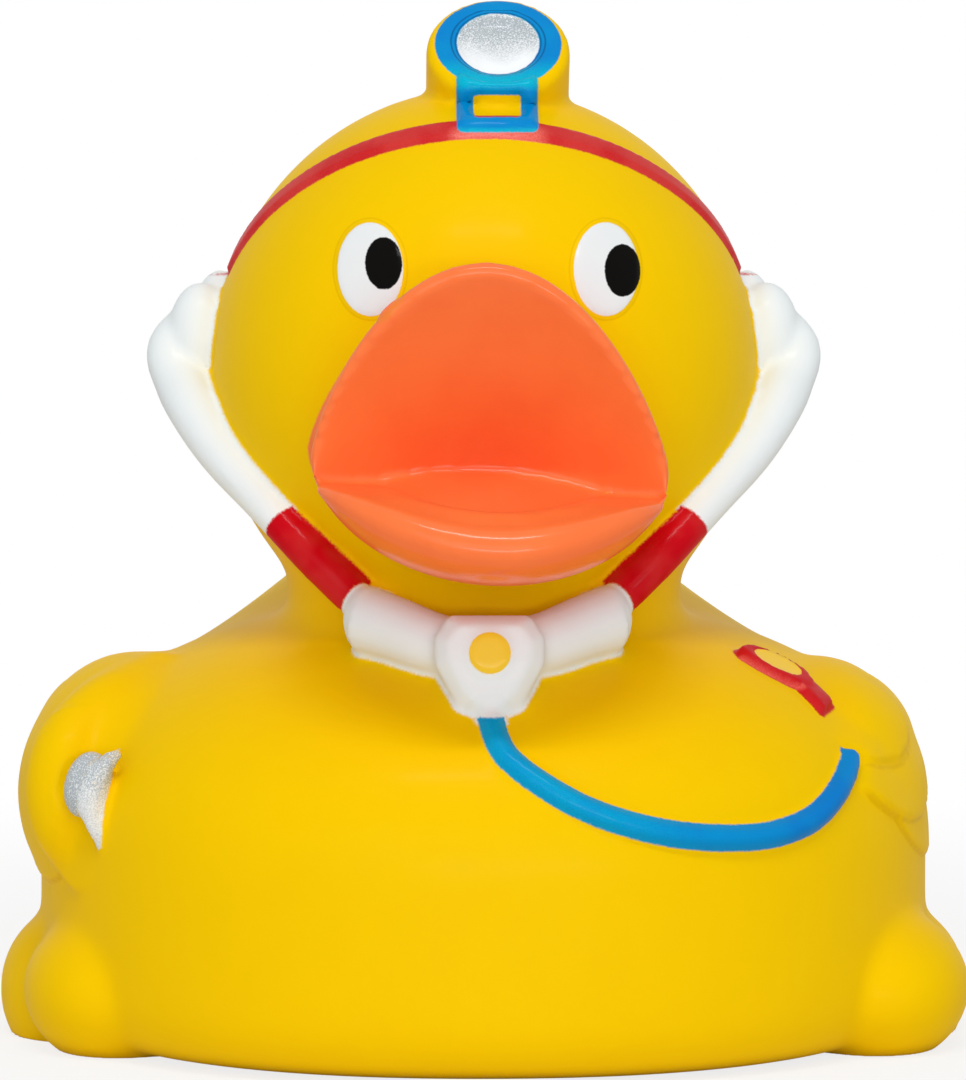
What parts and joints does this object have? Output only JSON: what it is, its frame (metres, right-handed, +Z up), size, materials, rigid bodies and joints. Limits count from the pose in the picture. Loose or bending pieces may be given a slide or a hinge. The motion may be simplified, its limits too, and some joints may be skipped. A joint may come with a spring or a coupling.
{
  "type": "rubber duck",
  "caption": "Hollow moulded vinyl toy duck in doctor's dress, with a head mirror, stethoscope and watch in painted relief, standing on a flat base.",
  "frame": {"origin": "under the middle of the duck's box, in the plane of its flat base", "axes": "+Z up, the bill looks along -Y, +X to the right when the duck is seen from the front"},
  "size_m": [0.0762, 0.0798, 0.0797],
  "materials": {
    "vinyl": "satin yellow vinyl with sprayed paint on the reliefs"
  },
  "bodies": {
    "root": {"duck_shell": "vinyl"}
  },
  "joints": []
}
